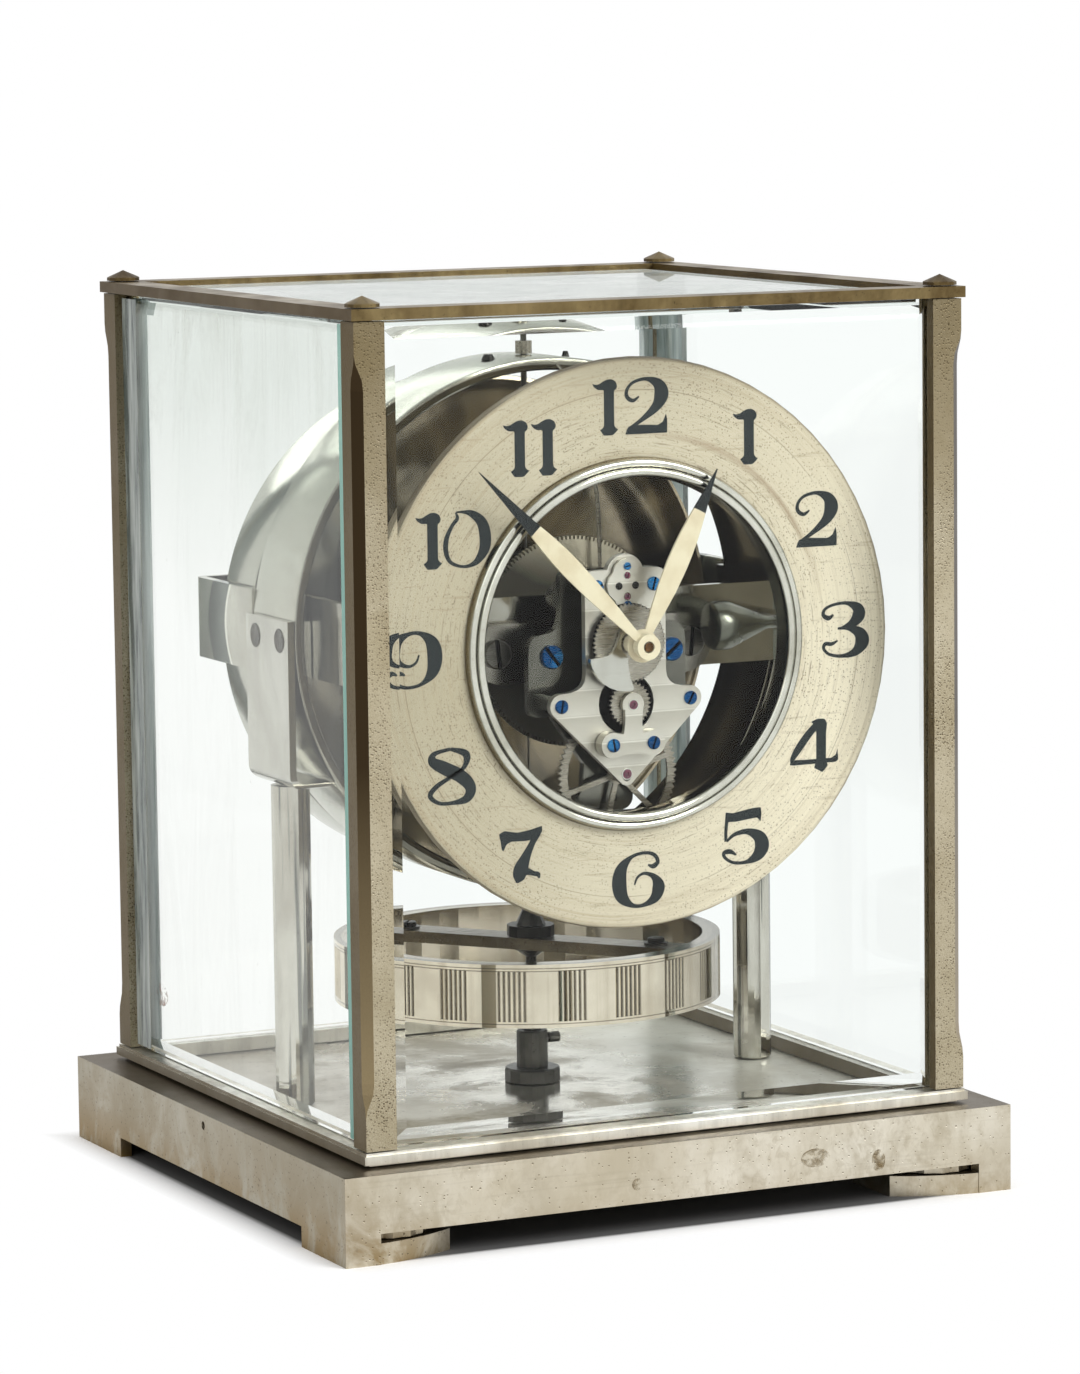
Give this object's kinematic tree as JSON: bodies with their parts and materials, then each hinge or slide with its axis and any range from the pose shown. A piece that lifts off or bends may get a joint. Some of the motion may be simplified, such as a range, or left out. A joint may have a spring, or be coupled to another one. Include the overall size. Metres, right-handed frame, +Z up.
{
  "type": "atmospheric clock",
  "caption": "Table clock in a glass case, wound by a drum that rocks with the temperature and timed by a heavy balance hung from a wire under a ring dial.",
  "frame": {"origin": "centre of the base's footprint, on the table", "axes": "+X to the right of someone who faces the dial, +Y from the dial to the back, +Z up"},
  "size_m": [0.185, 0.178, 0.233],
  "materials": {
    "worn_nickel": "worn nickel plate, satin, with brown spots",
    "old_brass": "tarnished plate, olive brown to gold",
    "pewter": "dulled nickel plate with dark pitting",
    "glass": "clear bevelled plate glass",
    "bright_nickel": "polished nickel plate",
    "matt_nickel": "matt nickel plate",
    "dark_nickel": "darkened polished steel",
    "dark_steel": "dark steel",
    "dial_silver": "silvered, matt, lightly scratched",
    "hand_ivory": "cream luminous fill with near-black points"
  },
  "bodies": {
    "base": {"plinth": "worn_nickel", "pillar_left": "bright_nickel", "pillar_right": "bright_nickel", "bracket_left": "bright_nickel", "bracket_right": "bright_nickel", "clamp_block_left": "bright_nickel", "clamp_block_right": "bright_nickel", "hoop": "bright_nickel", "front_bridge": "bright_nickel", "rear_bridge": "bright_nickel", "mounting_bar": "matt_nickel", "back_plate": "dark_nickel", "front_plate": "matt_nickel", "upper_cock": "matt_nickel", "lower_bridge": "matt_nickel", "motion_cock": "bright_nickel", "spring_housing": "dark_nickel", "detent_spring": "dark_steel", "dial_ring": "dial_silver", "bezel": "bright_nickel", "dial_post_left": "bright_nickel", "dial_post_right": "bright_nickel", "stop_buffer": "dark_nickel", "suspension_stem": "dark_steel", "suspension_wire": "dark_steel", "lock_post": "dark_steel"},
    "case": {"case_bottom_frame": "pewter", "case_top_frame": "old_brass", "case_post_front_left": "pewter", "case_post_front_right": "pewter", "case_post_back_left": "pewter", "case_post_back_right": "pewter", "pane_front": "glass", "pane_back": "glass", "pane_left": "glass", "pane_right": "glass", "pane_top": "glass", "case_nut_front_left": "old_brass", "case_nut_front_right": "old_brass", "case_nut_back_left": "old_brass", "case_nut_back_right": "old_brass"},
    "levelling_left": {"levelling_wheel_left": "dark_nickel"},
    "levelling_right": {"levelling_wheel_right": "dark_nickel"},
    "drum": {"drum_shell": "bright_nickel", "drum_cover": "bright_nickel", "drum_yoke": "dark_steel"},
    "winding": {"ratchet_wheel": "dark_nickel"},
    "minute": {"minute_hand": "hand_ivory", "centre_wheel": "matt_nickel"},
    "hour": {"hour_hand": "hand_ivory"},
    "small": {"small_wheel": "matt_nickel"},
    "crossed": {"crossed_wheel": "matt_nickel"},
    "balance": {"balance_ring": "bright_nickel", "balance_crossbar": "dark_nickel", "balance_hub": "dark_steel"},
    "regulator": {"suspension_nut": "matt_nickel"},
    "lock": {"lock_pin": "dark_steel"},
    "lock_screw": {"lock_thumbscrew": "dark_steel"},
    "pallet": {"pallet_lever": "dark_steel"}
  },
  "joints": [
    {"name": "case_lift", "type": "slide", "parent": "base", "child": "case", "axis": [0, 0, 1], "range_m": [0, 0.21]},
    {"name": "minute_turn", "type": "hinge", "parent": "base", "child": "minute", "pos_m": [0, -0.058, 0.143], "axis": [0, 1, 0], "continuous": true},
    {"name": "hour_turn", "type": "hinge", "parent": "base", "child": "hour", "pos_m": [0, -0.066, 0.143], "axis": [0, 1, 0], "continuous": true},
    {"name": "small_wheel_turn", "type": "hinge", "parent": "base", "child": "small", "pos_m": [0, -0.058, 0.1277], "axis": [0, 1, 0], "continuous": true},
    {"name": "crossed_wheel_turn", "type": "hinge", "parent": "base", "child": "crossed", "pos_m": [0, -0.051, 0.1091], "axis": [0, 1, 0], "continuous": true},
    {"name": "winding_turn", "type": "hinge", "parent": "base", "child": "winding", "pos_m": [0, -0.026, 0.1403], "axis": [0, 1, 0], "continuous": true},
    {"name": "drum_rock", "type": "hinge", "parent": "base", "child": "drum", "pos_m": [0, 0.033, 0.1403], "axis": [0, 1, 0], "range_deg": [-45, 45]},
    {"name": "balance_swing", "type": "hinge", "parent": "base", "child": "balance", "pos_m": [0, 0, 0.053], "axis": [0, 0, 1], "range_deg": [-270, 270]},
    {"name": "suspension_adjust", "type": "hinge", "parent": "base", "child": "regulator", "pos_m": [0, 0, 0.2135], "axis": [0, 0, 1], "range_deg": [-180, 180]},
    {"name": "lock_lift", "type": "slide", "parent": "base", "child": "lock", "axis": [0, 0, 1], "range_m": [0, 0.008]},
    {"name": "lock_clamp", "type": "hinge", "parent": "base", "child": "lock_screw", "pos_m": [0.006, 0, 0.033], "axis": [1, 0, 0], "range_deg": [-180, 180]},
    {"name": "level_left", "type": "hinge", "parent": "base", "child": "levelling_left", "pos_m": [-0.0765, -0.076, 0.0064], "axis": [0, 0, 1], "range_deg": [-180, 180]},
    {"name": "level_right", "type": "hinge", "parent": "base", "child": "levelling_right", "pos_m": [0.0765, -0.076, 0.0064], "axis": [0, 0, 1], "range_deg": [-180, 180]},
    {"name": "pallet_rock", "type": "hinge", "parent": "base", "child": "pallet", "pos_m": [0, -0.045, 0.1029], "axis": [0, 1, 0], "range_deg": [-4, 4]}
  ],
  "couplings": [
    {"joint": "hour_turn", "follows": "minute_turn", "ratio": 0.083333},
    {"joint": "small_wheel_turn", "follows": "minute_turn", "ratio": -1.8},
    {"joint": "crossed_wheel_turn", "follows": "minute_turn", "ratio": 0.25714}
  ]
}
